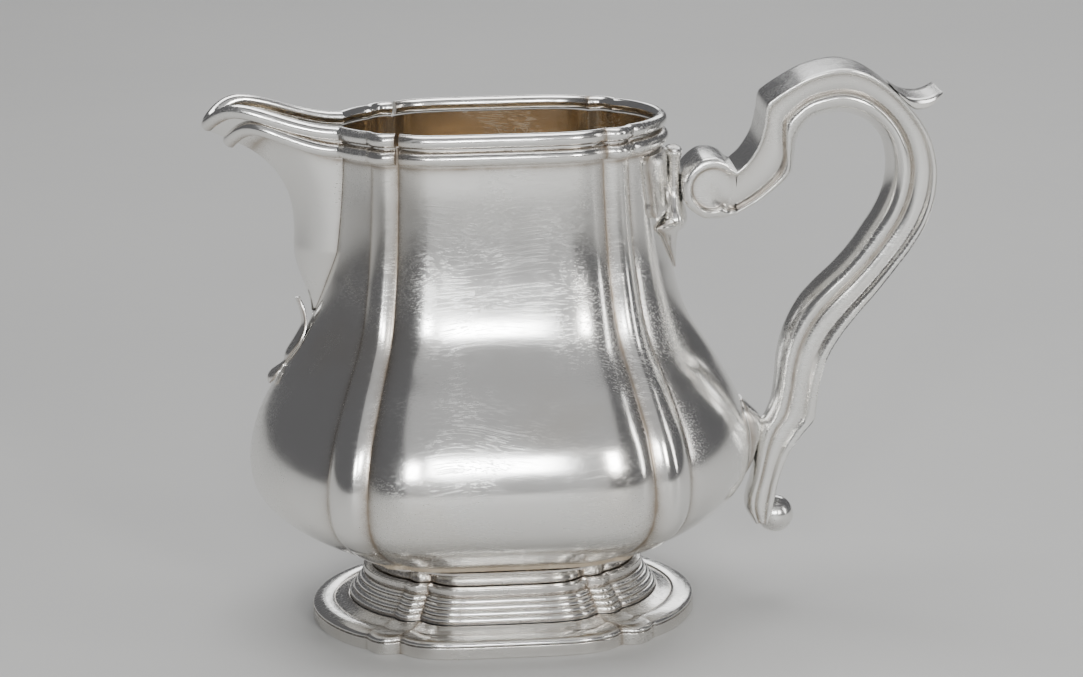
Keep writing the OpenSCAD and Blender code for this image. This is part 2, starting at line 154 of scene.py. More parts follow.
def lookUp(table, u):
    # points of the quarter at u, given for every row, on straight lines between the samples
    index = np.interp(np.clip(u, 0, 3), (0, 1, 2, 3), np.cumsum((0,) + tableSteps))
    k = np.minimum(index.astype(int), table[0].shape[1] - 2)
    t = index - k
    return [np.take_along_axis(a, k, 1) * (1 - t) + np.take_along_axis(a, k + 1, 1) * t for a in table]


def endShare(table, halves):
    # u at which the end panel is as far from the middle plane as every row of halves says
    index = np.arange(tableSteps[0] + 1)
    found = [np.interp(half, row[:len(index)], index) for half, row in zip(halves, table[1])]
    return np.array(found) / tableSteps[0]


def stretch(first, last, count):
    # steps that lie closer together towards both ends: (1 - cos a) / 2 of the way
    return first + (last - first) * (1 - np.cos(np.linspace(0, math.pi, count))) / 2


def kinkHalfWidth(z, grow=0.0):
    # the spout's two kinks open with the power 0.6 of the height above its foot
    opened = np.clip((z - spoutSize["foot"]) / spoutSize["opening"], 0, 1)
    return spoutSize["halfWidth"] * opened ** 0.6 + 0.9 * grow


def ridgeReach(z):
    # how far the ridge stands out: a smooth throat, and a flare that grows with the power 4.8 of the height
    throat = spoutSize["throat"] * smooth((z - spoutSize["foot"] + 2) / spoutSize["throatHeight"])
    up = np.maximum(0, (z - spoutSize["flareFoot"]) / (bodySize["wallTop"] - spoutSize["flareFoot"]))
    flare = (spoutSize["reach"] - spoutSize["throat"]) * up ** spoutSize["flarePower"]
    return np.where(z < spoutSize["foot"] - 2, 0, throat + flare)


def lipLift(z, t):
    # the lip rises from the kink (t 0) and droops again at the tip (t 1), with the cube of the height
    rise = spoutSize["rise"] * smooth(t / spoutSize["riseShare"])
    droop = spoutSize["droop"] * smooth((t - spoutSize["droopFrom"]) / (1 - spoutSize["droopFrom"]))
    return (rise - droop) * np.clip((z - spoutSize["liftFoot"]) / spoutSize["liftHeight"], 0, 1) ** 3


def spoutPoints(z, table, grow, t):
    # one side of the spout, a Bezier curve in every row from the kink (t 0) to the ridge (t 1)
    kinkX, kinkY = lookUp(table, endShare(table, kinkHalfWidth(z, grow))[:, None])
    ridge = (bodyPlan(z)[:, 0] + ridgeReach(z) + grow)[:, None]
    width = kinkHalfWidth(z)[:, None]
    return bezier([(kinkX, kinkY), (kinkX + 0.5 * (ridge - kinkX), 0.9 * width + 0.9 * grow),
                   (ridge, 0.8 * width + 0.5 * grow), (ridge, 0 * ridge)], t[None, :])


# Meshes

def placed(points):
    # millimetres about the body's axis, as metres in the frame
    return (np.reshape(points, (-1, 3)) + (bodyAxis, 0, 0)) * metres


def gridQuads(rows, columns, start=0, wrapColumns=False, wrapRows=False):
    # quads between the points of a grid, closed round either way
    j, i = np.meshgrid(np.arange(rows if wrapRows else rows - 1),
                       np.arange(columns if wrapColumns else columns - 1), indexing="ij")
    row, nextRow, nextColumn = j * columns, (j + 1) % rows * columns, (i + 1) % columns
    corners = [row + i, row + nextColumn, nextRow + nextColumn, nextRow + i]
    return np.stack([c.ravel() for c in corners], 1) + start


def signedVolume(points, quads):
    # sum of a.(b x c) + a.(c x d), below 0 if the quads face inwards
    a, b, c, d = (points[quads[:, k]] for k in range(4))
    return np.einsum("ij,ij->i", a, np.cross(b, c)).sum() + np.einsum("ij,ij->i", a, np.cross(c, d)).sum()


def makePiece(name, node, points, quads, materials, faceMaterial, grime, sharp):
    if signedVolume(points, quads) < 0:
        quads = quads[:, ::-1]
    kept = quads != np.roll(quads, 1, axis=1)  # a quad with two equal corners is a triangle
    whole = kept.all(axis=1)
    triangles = quads[~whole][kept[~whole]].reshape(-1, 3)
    mesh = bpy.data.meshes.new(name)
    mesh.from_pydata(points.tolist(), [], quads[whole].tolist() + triangles.tolist())
    layer = mesh.attributes.new("grime", "FLOAT", "POINT")
    layer.data.foreach_set("value", np.ascontiguousarray(np.ravel(grime), dtype=np.float32))
    for material in materials:
        mesh.materials.append(material)
    mesh.polygons.foreach_set("material_index", np.asarray(faceMaterial, dtype=np.int32))
    mesh.polygons.foreach_set("use_smooth", np.ones(len(quads), dtype=bool))
    mesh.update()
    mesh.set_sharp_from_angle(angle=math.radians(sharp))
    piece = bpy.data.objects.new(name, mesh)
    bpy.context.scene.collection.objects.link(piece)
    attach(piece, "root")
    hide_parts(node)


def sheetPiece(name, node, outer, inner, materials, grime):
    # a piece of sheet between two grids of points, with its edges closed; its inside has the last material
    rows, columns = outer.shape[:2]
    n = rows * columns
    faces = [gridQuads(rows, columns), gridQuads(rows, columns, n)[:, ::-1]]
    index = np.arange(n).reshape(rows, columns)
    for edge in (index[0], index[-1][::-1], index[:, 0][::-1], index[:, -1]):
        faces.append(np.stack([edge[1:], edge[:-1], edge[:-1] + n, edge[1:] + n], 1))
    slots = np.zeros(sum(len(f) for f in faces))
    slots[len(faces[0]):2 * len(faces[0])] = len(materials) - 1
    points = placed(np.concatenate([outer.reshape(-1, 3), inner.reshape(-1, 3)]))
    grime = np.concatenate([np.ravel(grime), np.ravel(grime) * 0.2])  # cleaner inside
    makePiece(name, node, points, np.concatenate(faces), materials, slots, grime, 40)


def barPiece(name, node, loops, material, grime, closed=False, sharp=40):
    # a bar swept through loops of points; it closes round, or its ends get a fan around their middle
    loops = np.asarray(loops, float)
    rows, columns = loops.shape[:2]
    points, grime = loops.reshape(-1, 3), np.ravel(grime)
    faces = [gridQuads(rows, columns, 0, True, closed)]
    if not closed:
        n = rows * columns
        points = np.concatenate([points, loops[:1].mean(1), loops[-1:].mean(1)])
        grime = np.append(grime, (0.4, 0.4))
        i = np.arange(columns)
        k = (i + 1) % columns
        last = (rows - 1) * columns
        faces.append(np.stack([k, 0 * i + n, 0 * i + n, i], 1))
        faces.append(np.stack([last + i, 0 * i + n + 1, 0 * i + n + 1, last + k], 1))
    quads = np.concatenate(faces)
    makePiece(name, node, placed(points), quads, [material], np.zeros(len(quads)), grime, sharp)


# Materials

class Value:
    # one output of a shader tree, so that sums can be written as plain arithmetic
    def __init__(self, tree, socket):
        self.tree, self.socket = tree, socket

    def maths(self, operation, first, second):
        node = self.tree.nodes.new("ShaderNodeMath")
        node.operation = operation
        for slot, item in enumerate((first, second)):
            if isinstance(item, Value):
                self.tree.links.new(item.socket, node.inputs[slot])
            else:
                node.inputs[slot].default_value = item
        return Value(self.tree, node.outputs[0])

    def __add__(self, other):
        return self.maths("ADD", self, other)

    def __mul__(self, other):
        return self.maths("MULTIPLY", self, other)

    def __sub__(self, other):
        return self.maths("SUBTRACT", self, other)

    def __rsub__(self, other):
        return self.maths("SUBTRACT", other, self)

    def most(self, other):
        return self.maths("MAXIMUM", self, other)

    def least(self, other):
        return self.maths("MINIMUM", self, other)

    __radd__ = __add__
    __rmul__ = __mul__


class Surface:
    # a material being built around one Principled BSDF
    def __init__(self, name):
        self.material = bpy.data.materials.new(name)
        self.material.use_nodes = True
        self.tree = self.material.node_tree
        self.shader = self.tree.nodes["Principled BSDF"]
        self.place = self.node("ShaderNodeTexCoord", "Object")

    def node(self, kind, output, settings=None, inputs=None):
        node = self.tree.nodes.new(kind)
        for key, item in (settings or {}).items():
            setattr(node, key, item)
        for key, item in (inputs or {}).items():
            if isinstance(item, Value):
                self.tree.links.new(item.socket, node.inputs[key])
            else:
                node.inputs[key].default_value = item
        return Value(self.tree, node.outputs[output])

    def noise(self, scale, detail=3.0, at=None, roughness=0.5):
        return self.node("ShaderNodeTexNoise", 0, None, {"Vector": at or self.place, "Scale": scale,
                                                         "Detail": detail, "Roughness": roughness})

    def between(self, value, low, high):
        # 0 below low, 1 above high and smooth in between
        return self.node("ShaderNodeMapRange", 0, {"interpolation_type": "SMOOTHSTEP"},
                         {"Value": value, "From Min": low, "From Max": high})

    def mix(self, share, first, second):
        return self.node("ShaderNodeMix", 2, {"data_type": "RGBA"}, {0: share, 6: first, 7: second})

    def hairlines(self, turn, scale, threshold):
        # noise stretched 50 times along a slightly bent direction, kept where it is above the threshold
        wander = self.node("ShaderNodeTexNoise", 1, None,
                           {"Vector": self.place, "Scale": 55.0, "Detail": 0.0})
        shift = self.node("ShaderNodeVectorMath", 0, {"operation": "SCALE"}, {0: wander, "Scale": 0.006})
        bent = self.node("ShaderNodeVectorMath", 0, {"operation": "ADD"}, {0: self.place, 1: shift})
        turned = self.node("ShaderNodeMapping", 0, None,
                           {"Vector": bent, "Rotation": turn, "Scale": (1, 50, 50)})
        return self.between(self.noise(scale, 2.0, turned, 0.6), threshold, threshold + 0.07)

    def swirls(self, scale, rings, threshold):
        # fine rings around scattered centres, as a polishing cloth leaves them
        centre = self.node("ShaderNodeTexVoronoi", "Distance", None, {"Vector": self.place, "Scale": scale})
        shade = self.node("ShaderNodeTexNoise", 0, {"noise_dimensions": "4D"},
                          {"Vector": self.place, "W": centre * rings, "Scale": 18.0, "Detail": 2.0})
        return self.between(shade, threshold, threshold + 0.06)

    def set(self, key, value):
        if isinstance(value, Value):
            self.tree.links.new(value.socket, self.shader.inputs[key])
        else:
            self.shader.inputs[key].default_value = value

    def bump(self, height, strength, distance):
        self.set("Normal", self.node("ShaderNodeBump", 0, None,
                                     {"Height": height, "Strength": strength, "Distance": distance}))


def silverSurface(name, look):
    # hairs = the strongest of several sets of hairlines and swirls, thinned by a broad noise
    # dirt = grime attribute x (0.55 + noise), colour = silver to brown by dirt, with faint warm stains
    # roughness = polish + scratches + smudges + dirt
    s = Surface(name)
    hairs = 0.0
    for turn, scale, raised in look["hairlines"]:
        hairs = s.hairlines(turn, scale, look["threshold"] + raised).most(hairs)
    for scale, rings in look["swirls"]:
        hairs = (s.swirls(scale, rings, look["threshold"]) * 0.4).most(hairs)
    hairs = hairs * (0.25 + 0.75 * s.between(s.noise(60.0), 0.38, 0.62))
    grime = s.node("ShaderNodeAttribute", "Fac", {"attribute_name": "grime"})
    dirt = (grime * (0.55 + 1.1 * s.noise(420.0, 5.0))).least(1.0) * look["dirt"]
    smudge = s.between(s.noise(60.0, 6.0, roughness=0.62), 0.35, 0.8)
    stained = s.mix(s.between(s.noise(48.0, 4.0), 0.5, 0.8) * look["stain"], look["silver"], look["warm"])
    s.set("Base Color", s.mix(dirt, stained, look["brown"]))
    s.set("Metallic", 1.0)
    s.set("Roughness", look["polish"] + hairs * look["scratch"] + smudge * look["smudge"] + dirt * 0.22)
    s.bump(s.noise(4000.0, 2.0) * look["grain"] - hairs + dirt * 0.4, look["depth"], 0.000005)
    return s.material


silverLook = {
    "silver": (0.90, 0.89, 0.865, 1), "warm": (0.80, 0.71, 0.58, 1), "brown": (0.20, 0.125, 0.055, 1),
    "polish": 0.13, "scratch": 0.16, "smudge": 0.09, "threshold": 0.59, "dirt": 0.75, "stain": 0.3,
    "grain": 0.0, "depth": 0.4,
    "hairlines": (((0.2, 0.5, 0.3), 70.0, 0.0), ((0.1, -0.7, 0.4), 85.0, 0.01),
                  ((0.3, 1.3, -0.2), 60.0, 0.01), ((0.2, 0.1, 0.1), 75.0, 0.01)),  # turn, scale, threshold
    "swirls": ((46.0, 5.0), (78.0, 3.5)),  # scale, rings
}
castLook = dict(silverLook, polish=0.17, scratch=0.14, smudge=0.12, grain=0.5, dirt=0.7, stain=0.2)
giltLook = dict(silverLook, silver=(0.84, 0.74, 0.60, 1), warm=(0.66, 0.52, 0.36, 1), polish=0.16,
                scratch=0.14, smudge=0.16, stain=0.8, grain=0.35)
polished = silverSurface("polished silver", silverLook)
cast = silverSurface("cast silver", castLook)
gilt = silverSurface("gilt inside", giltLook)
print("materials made")


# Body: two halves, closed at the kinks beside the spout and along the seam at the handle end

def creaseGrime(u):
    # exp(-distance) from the crease (u 2), and fainter from the corner (u 1); one step of u is about 24 mm
    # on the long panel, 8 mm on the lobe and 18 mm on the end panel
    crease = np.exp(-np.where(u > 2, (u - 2) * 24, (2 - u) * 8) / 0.75)
    corner = 0.6 * np.exp(-np.where(u > 1, (u - 1) * 8, (1 - u) * 18) / 0.6)
    return np.maximum(crease, corner)


wallRows = np.linspace(bodySize["seatHeight"], bodySize["wallTop"], bodySize["rows"])
heightGrime = (0.9 * np.exp(-(wallRows - bodySize["seatHeight"]) / 0.8)
               + 0.8 * np.exp(-np.abs(wireLine - wallRows) / 0.5))


def bodyHalf(side, grow):
    # a grid of (x, y, z) from the kink round the long panel to the seam, and its tarnish
    table = quarterTable(bodyPlan(wallRows), grow, bodySize["creaseRound"])
    share = endShare(table, np.maximum(kinkHalfWidth(wallRows, grow), 0.0))[:, None]
    end, lobe, panel = quarterSteps
    rest = np.concatenate([stretch(1, 2, lobe)[1:], stretch(2, 3, panel)[1:]])
    west = np.hstack([share + (1 - share) * stretch(0, 1, end), rest + 0 * share])
    east = [stretch(3, 2, panel)[1:], stretch(2, 1, lobe)[1:], stretch(1, 0, end)[1:]]
    east = np.concatenate(east) + 0 * share
    westX, westY = lookUp(table, west)
    eastX, eastY = lookUp(table, east)
    x, y = np.hstack([-westX, eastX]), np.hstack([westY, eastY])
    points = np.stack([x, side * np.maximum(y, bodySize["seam"] / 2), wallRows[:, None] + 0 * x], 2)
    return points, np.maximum(creaseGrime(np.hstack([west, east])), heightGrime[:, None])


for side, name in ((-1, "front"), (1, "back")):
    outer, grime = bodyHalf(side, 0.0)
    inner, _ = bodyHalf(side, -bodySize["sheet"])
    besideSpout = (wallRows > spoutSize["foot"])[:, None]
    kinkGrime = 0.55 * np.exp(-np.arange(outer.shape[1]) / 2.5)[None, :] * besideSpout
    sheetPiece("jug_body_" + name, "body_%s_half" % name,
               outer, inner, [polished, gilt], np.maximum(grime, kinkGrime))
print("body made")

# Spout
spoutRows = np.concatenate([np.linspace(spoutSize["foot"] + 0.6, spoutSize["closeRows"], 70)[:-1],
                            np.linspace(spoutSize["closeRows"], bodySize["wallTop"], 50)])


def spoutFace(grow):
    # a grid of (x, y, z + lift) from one kink over the ridge to the other, and t along it
    table = quarterTable(bodyPlan(spoutRows), grow, bodySize["creaseRound"])
    t = stretch(0.004, 1, spoutSize["steps"])
    x, y = spoutPoints(spoutRows, table, grow, t)
    z = spoutRows[:, None] + lipLift(spoutRows[:, None], t[None, :])
    near = np.stack([-x, -y, z], 2)
    far = near[:, ::-1][:, 1:] * (1, -1, 1)
    return np.concatenate([near, far], 1), np.concatenate([t, t[::-1][1:]])


outer, t = spoutFace(0.02)
inner, _ = spoutFace(-bodySize["sheet"])
grime = np.maximum(0.6 * np.exp(-t / 0.03)[None, :],
                   0.8 * np.exp(-np.abs(wireLine - spoutRows) / 0.6)[:, None])
sheetPiece("jug_spout", "spout", outer, inner, [polished, gilt], grime)
print("spout made")

# Rim wires: each profile point is (distance out from the wall, height above the wire's middle)
wireSize = {
    "upperHeight": 2.4, "upperOut": 1.1, "upperShift": 0.2,
    "lowerHeight": 2.6, "lowerOut": 1.5, "lowerDrop": 0.35, "mitre": 0.03, "groove": 0.2,
}
a = np.linspace(0, 2 * math.pi, 29)[:-1]
upperProfile = np.stack([wireSize["upperShift"] + wireSize["upperOut"] * np.cos(a),
                         wireSize["upperHeight"] / 2 * np.sin(a)], 1)
a = np.linspace(-math.pi / 2, math.pi / 2, 24)
lowerProfile = np.stack([solder + wireSize["lowerOut"] * np.cos(a),
                         wireSize["lowerHeight"] / 2 * np.sin(a)], 1)
lowerProfile = np.concatenate([lowerProfile, [(solder, 0.4), (solder, -0.4)]])
upperMiddle = bodySize["wallTop"] + solder + wireSize["upperHeight"] / 2
lowerMiddle = bodySize["wallTop"] - wireSize["lowerDrop"] - wireSize["lowerHeight"] / 2


def smoothLine(v):
    # softens the kink beside the spout: a quarter of both neighbours and half of the point, four times
    for _ in range(4):
        v = np.concatenate([v[:1], 0.25 * v[:-2] + 0.5 * v[1:-1] + 0.25 * v[2:], v[-1:]])
    return v


def rimLoops(profile, row, middle, lip):
    # loops of a wire over the lip, or round the rest of the rim, and u along them
    loops, across = [], []
    z = np.full(1, row)
    for out, up in profile:
        table = quarterTable(bodyPlan(z), out, 3, wireSize["groove"])
        if lip:
            share = endShare(table, kinkHalfWidth(z, out))[0]
            u = np.concatenate([stretch(2 - wireSize["mitre"], 1, 30),
                                share + (1 - share) * (1 - np.linspace(0, 1, 20)[1:])])
            x, y = (v[0] for v in lookUp(table, u[None, :]))
            t = stretch(0, 1, 60)[1:]
            spoutX, spoutY = (v[0] for v in spoutPoints(z, table, out, t))
            x, y = smoothLine(np.concatenate([-x, -spoutX])), smoothLine(np.concatenate([-y, -spoutY]))
            lift = smoothLine(lipLift(z, np.concatenate([0 * u, t])))
            x, y, lift = (np.concatenate([v, k * v[::-1][1:]]) for v, k in ((x, 1), (y, -1), (lift, 1)))
            across.append(np.concatenate([u, 1 + 0 * t, 1 + 0 * t[1:], u[::-1]]))
        else:
            u = np.concatenate([stretch(2 + wireSize["mitre"], 3, 40), stretch(3, 2, 40)[1:],
                                stretch(2, 1, 30)[1:], stretch(1, 0, 50)[1:]])
            x, y = (v[0] for v in lookUp(table, u[None, :]))
            x = np.where(np.arange(len(u)) < 40, -x, x)
            x, y = np.concatenate([x, x[::-1][1:]]), np.concatenate([-y, y[::-1][1:]])
            lift = 0 * x
            across.append(np.concatenate([u, u[::-1][1:]]))
        loops.append(np.stack([x, y, middle + up + lift], 1))
    return np.array(loops).transpose(1, 0, 2), np.array(across).T


for name, profile, row, middle in (("upper", upperProfile, bodySize["wallTop"], upperMiddle),
                                   ("lower", lowerProfile, lowerMiddle, lowerMiddle)):
    up = profile[:, 1]
    under = np.exp(-(up - up.min()) / 0.25) + np.exp(-(up.max() - up) / 0.2) * (name == "lower")
    for lip, kind in ((True, "lip"), (False, "rim")):
        loops, across = rimLoops(profile, row, middle, lip)
        grime = np.maximum(0.7 * under[None, :], np.exp(-np.abs(across - 2) * 8 / 0.5))
        barPiece("jug_%s_%s_wire" % (name, kind), "%s_%s_wire" % (name, kind),
                 loops, polished, grime)
print("rim made")

# Foot: rings swept round the outline
footSize = {
    "span": 10.0, "sheet": 0.8, "collarFoot": 9.95, "collarTop": 13.6, "collarFlare": (3.6, 3.1),
    "reeds": 4, "reedFoot": (3.5, 4.25), "reedHead": (1.05, 8.0), "reedOut": (0.36, 0.17),
    "baseBand": 2.2, "baseDepth": 1.6, "plateFoot": 13.75, "plateTop": 14.55,
}


def footPiece(name, node, profile, dirt):
    # profile points are (distance out from the waist, height, inward offset), each swept right round
    profile = np.asarray(profile, float)
    end, lobe, panel = quarterSteps
    u = np.concatenate([stretch(0, 1, end)[:-1], stretch(1, 2, lobe)[:-1], stretch(2, 3, panel)])
    table = quarterTable(mixPlans("waist", "flange", profile[:, 0] / footSize["span"]), profile[:, 2], 3)
    x, y = lookUp(table, u[None, :] + 0 * profile[:, :1])
    x = np.hstack([x, -x[:, ::-1][:, 1:], -x[:, 1:], x[:, ::-1][:, 1:-1]])
    y = np.hstack([y, y[:, ::-1][:, 1:], -y[:, 1:], -y[:, ::-1][:, 1:-1]])
    loops = np.stack([x, y, profile[:, 1:2] + 0 * x], 2).transpose(1, 0, 2)
    across = np.concatenate([u, u[::-1][1:], u[1:], u[::-1][1:-1]])
    grime = np.maximum(0.85 * creaseGrime(across)[:, None], np.asarray(dirt)[None, :])
    barPiece(name, node, loops, polished, grime, True, 50)


def softened(corners, steps=7, size=0.3):
    # a closed outline with small round corners: (1-t)^2 start + 2t(1-t) corner + t^2 end
    corners = np.asarray(corners, float)
    ends = []
    for step in (1, -1):
        side = np.roll(corners, step, 0) - corners
        length = np.linalg.norm(side, axis=1)
        ends.append(corners + side * (np.minimum(size, 0.45 * length) / length)[:, None])
    start, end = (v[:, None] for v in ends)
    t = np.linspace(0, 1, steps)[None, :, None]
    return ((1 - t) ** 2 * start + 2 * t * (1 - t) * corners[:, None] + t * t * end).reshape(-1, 3)


sheet = footSize["sheet"]
s = np.linspace(0, math.pi / 2, 14)
flareOut, flareUp = footSize["collarFlare"]
flare = np.stack([flareOut * (1 - np.cos(s)), footSize["collarFoot"] + flareUp * np.sin(s), 0 * s], 1)
flare = np.concatenate([flare, [(3.9, 13.25, 0), (3.9, footSize["collarTop"], 0)]])
collar = np.concatenate([flare, flare[::-1] - (0, 0, sheet)])
dirt = (0.8 * np.exp(-(collar[:, 1] - footSize["collarFoot"]) / 0.35)
        + 0.7 * np.exp(-(footSize["collarTop"] - collar[:, 1]) / 0.3))
footPiece("jug_foot_collar", "foot_collar", collar, dirt)

reedFoot, reedHead, reedOut = (np.array(footSize[key]) for key in ("reedFoot", "reedHead", "reedOut"))
turn = np.linspace(0.12, math.pi - 0.12, 12)
reeds = [reedFoot + (reedHead - reedFoot) * ((k + (1 - np.cos(turn)) / 2) / footSize["reeds"])[:, None]
         + reedOut * np.sin(turn)[:, None] for k in range(footSize["reeds"])]
band = softened([(0.75, 8.3, 0), (1.25, 8.45, 0), (1.25, 9.55, 0), (0.3, 9.85, 0)], 6, 0.2)
outerSide = np.concatenate([[(3.7, 4.05)]] + reeds)
outerSide = np.concatenate([np.column_stack([outerSide, 0 * outerSide[:, 0]]), band])
innerSide = np.array([(0.3, 9.85, -sheet), (0.8, 7.8, -sheet), (3.0, 4.9, -sheet), (3.7, 4.05, -sheet)])
rise = np.concatenate([outerSide, innerSide])
groove = np.concatenate([[0.5]] + [0.9 * (1 - np.sin(turn)) ** 2 for _ in range(footSize["reeds"])]
                        + [0.25 * np.ones(len(band))] + [0.3 * np.ones(len(innerSide))])
footPiece("jug_foot_reeds", "foot_reeded_ring", rise, groove)

flange = softened([
    (10.0, 2.26, 0), (9.95, 2.7, 0), (9.5, 3.05, 0), (8.6, 3.35, 0), (7.5, 3.45, 0), (6.6, 3.35, 0),
    (6.3, 3.1, 0), (5.9, 3.2, 0), (4.8, 3.5, 0), (3.7, 3.98, 0), (3.7, 3.1, -sheet), (7.2, 2.4, -sheet),
    (9.9, 2.26, -sheet)], 7, 0.35)
dirt = 0.6 * np.exp(-np.abs(flange[:, 0] - 6.3) / 0.25) + 0.5 * np.exp(-np.abs(flange[:, 0] - 3.7) / 0.5)
footPiece("jug_foot_flange", "foot_flange", flange, dirt)

span, top, deep = footSize["span"], footSize["baseBand"], -footSize["baseDepth"]
base = softened([(span, 0, 0), (span, top, 0), (span, top, deep), (span, 0, deep)], 7, 0.25)
dirt = 0.3 * np.exp(-base[:, 1] / 0.3) + 0.6 * np.exp(-(top - base[:, 1]) / 0.25)
footPiece("jug_foot_base_wire", "foot_base_wire", base, dirt)

# The plate that closes the body: loops from near its middle out and back again on the other face
table = quarterTable(bodyPlan([bodySize["seatHeight"]]), -0.5, 3)
x, y = (v[0] for v in lookUp(table, np.linspace(0, 3, 40)[None, :]))
rimX = np.concatenate([x, -x[::-1][1:], -x[1:], x[::-1][1:-1]])
rimY = np.concatenate([y, y[::-1][1:], -y[1:], -y[::-1][1:-1]])
plate = [np.stack([k * rimX, k * rimY, 0 * rimX + z], 1)
         for z, sizes in ((footSize["plateFoot"], (0.02, 0.5, 1)), (footSize["plateTop"], (1, 0.5, 0.02)))
         for k in sizes]
barPiece("jug_floor", "floor_plate", plate, gilt, 0.5 * np.ones(len(plate) * len(rimX)))
print("foot made")

# Pieces that lie on the end panels; each row of values runs up the piece, one for every height
leafSize = {"rows": 70, "columns": 41, "edge": 0.35, "bulge": 0.7}
dropSize = dict(leafSize, side=-1, heights=(43.6, 44.4, 45.8, 47.2, 49, 51.5, 54, 56.5, 58.8),
                halfWidths=(0.5, 1.4, 1.6, 1.0, 1.8, 2.4, 1.7, 1.2, 0.7),
                thickness=(0.5, 1.3, 1.5, 0.6, 1.2, 1.3, 1.0, 0.9, 0.6),
                standOff=(0.5, 0.4, 0.3, 0.05, 0.05, 0.05, 0.4, 1.2, 1.9))
plateSize = dict(leafSize, side=1, edge=0.8, heights=(73, 73.4, 76, 80, 83.2, 83.8),
                 halfWidths=(8.3, 8.6, 8.7, 8.7, 8.7, 8.4), thickness=(0.8, 1.1, 1.2, 1.2, 1.1, 0.8))
pendantSize = dict(leafSize, side=1, heights=(62.2, 63.5, 65.2, 67.2, 68.6, 69.6, 70.4, 71.2, 71.7),
                   halfWidths=(0.4, 1.6, 3.2, 4.6, 5.4, 6.2, 7.2, 7.0, 5.4),
                   thickness=(0.5, 0.8, 1.1, 1.6, 2.0, 2.5, 3.2, 3.5, 2.6))
mountSize = dict(leafSize, side=1, bulge=0.4, heights=(20, 21.5, 25, 29, 32, 34.5, 36.5, 38),
                 halfWidths=(0.3, 1.2, 2.2, 3.0, 3.5, 3.5, 2.8, 1.4),
                 thickness=(0.5, 0.9, 1.0, 1.5, 2.4, 2.6, 1.3, 0.4))


def wallLeaf(name, node, look):
    # outer face = wall + edge + (thickness - edge) x (1 - across^2)^bulge, pushed a little sideways
    side, heights = look["side"], look["heights"]
    z = np.linspace(heights[0], heights[-1], look["rows"])
    half = through(heights, look["halfWidths"], z)[:, None]
    thick = through(heights, look["thickness"], z)[:, None]
    across = np.linspace(-1, 1, look["columns"])[None, :]
    plan = bodyPlan(z)
    table = quarterTable(plan, 0.0, 3)
    reach = ridgeReach(z)[:, None] * (side < 0)
    y = across * half
    x = lookUp(table, endShare(table, np.abs(y)))[0] + reach * (1 - across ** 2 * 0.2)
    dome = look["edge"] + (thick - look["edge"]) * (1 - across ** 2) ** look["bulge"]
    slope = (y / np.maximum(plan[:, 5:6] + 4, 1)) * 0.8
    outer = np.stack([side * (x + dome), y + slope * dome, z[:, None] + 0 * x], 2)
    off = through(heights, look["standOff"], z)[:, None] if "standOff" in look else solder
    outer[:, :, 0] += side * (off - solder)
    inner = np.stack([side * (x + off), y, z[:, None] + 0 * x], 2)
    grime = (0.8 * np.exp(-(1 - np.abs(across)) / 0.1) + 0 * z[:, None]
             + 0.3 * np.exp(-np.abs(np.abs(across) - 0.5) / 0.06))
    sheetPiece(name, node, outer, inner, [cast], grime)


wallLeaf("jug_spout_drop", "spout_drop", dropSize)
wallLeaf("jug_back_plate", "handle_back_plate", plateSize)
wallLeaf("jug_leaf_drop", "handle_leaf_drop", pendantSize)
wallLeaf("jug_lower_mount", "handle_lower_mount", mountSize)

# The handle's upright collar, turned about its own axis and squashed; its profile is (radius, height)
collarSize = {
    "centre": 30.6, "squash": (0.88, 1.7), "columns": 48,
    "profile": ((0.5, 68.6), (1.5, 69.0), (2.4, 69.9), (2.8, 71.0), (2.6, 72.3), (2.0, 73.8), (1.5, 75.6),
                (1.3, 78), (1.3, 80.2), (1.5, 81.8), (1.75, 82.9), (1.4, 83.5), (0.5, 83.8)),
}
profile = np.asarray(collarSize["profile"], float)
rows = np.arange(len(profile))
steps = np.linspace(0, len(profile) - 1, 14 * len(profile))
r, z = (through(rows, profile[:, k], steps)[:, None] for k in (0, 1))
a = np.linspace(0, 2 * math.pi, collarSize["columns"] + 1)[:-1]
squashX, squashY = collarSize["squash"]
loops = np.stack([collarSize["centre"] + squashX * r * np.cos(a), squashY * r * np.sin(a), z + 0 * a], 2)
barPiece("jug_collar", "handle_collar", loops, cast, 0.7 * np.exp(-r / 0.9) + 0 * a)

# Handle: pairs of points on the back strap and on the inner roll, from the volute to the lower end
strapLine = [
    (41, 80.1), (42.9, 81.9), (44.7, 84.9), (45.6, 88.4), (46, 91.3), (47, 92.5), (50.3, 94.6),
    (54, 96.4), (59, 97.4), (63.2, 96.5), (67.2, 94), (71, 90.2), (74, 85.8), (75.5, 80.6), (75.5, 75.4),
    (74.2, 70.4), (71.8, 66), (68.8, 61.8), (65.4, 57.4), (62.1, 53.4), (59.2, 49.4), (57.2, 45.6),
    (56.2, 42), (55.8, 39.3), (55.5, 36.6), (55.2, 34.3), (53.4, 31.9), (51.3, 28.9), (49.9, 25.9),
    (49.0, 22.9), (48.5, 20.2), (48.0, 17.6), (47.3, 15.1)]
rollLine = [
    (41, 71.45), (44.9, 73.5), (48.2, 75.8), (50.9, 78.3), (51.5, 81), (52, 84.3), (53.2, 86.8),
    (55, 88.2), (59, 88.9), (62.4, 88.2), (64.9, 86.6), (66.8, 84.2), (67.6, 81.1), (67.7, 78),
    (67, 74.6), (65.5, 71.2), (63.6, 68.2), (61.4, 65), (58.6, 61.8), (55.4, 58.8), (52.4, 55.4),
    (50.1, 50.8), (48.9, 46), (48.5, 41.4), (48, 37.8), (47.1, 35.2), (46, 33.2), (45.4, 30.5), (45, 27),
    (44.4, 23.5), (43.5, 20), (43.5, 17.4), (44.9, 14.8)]
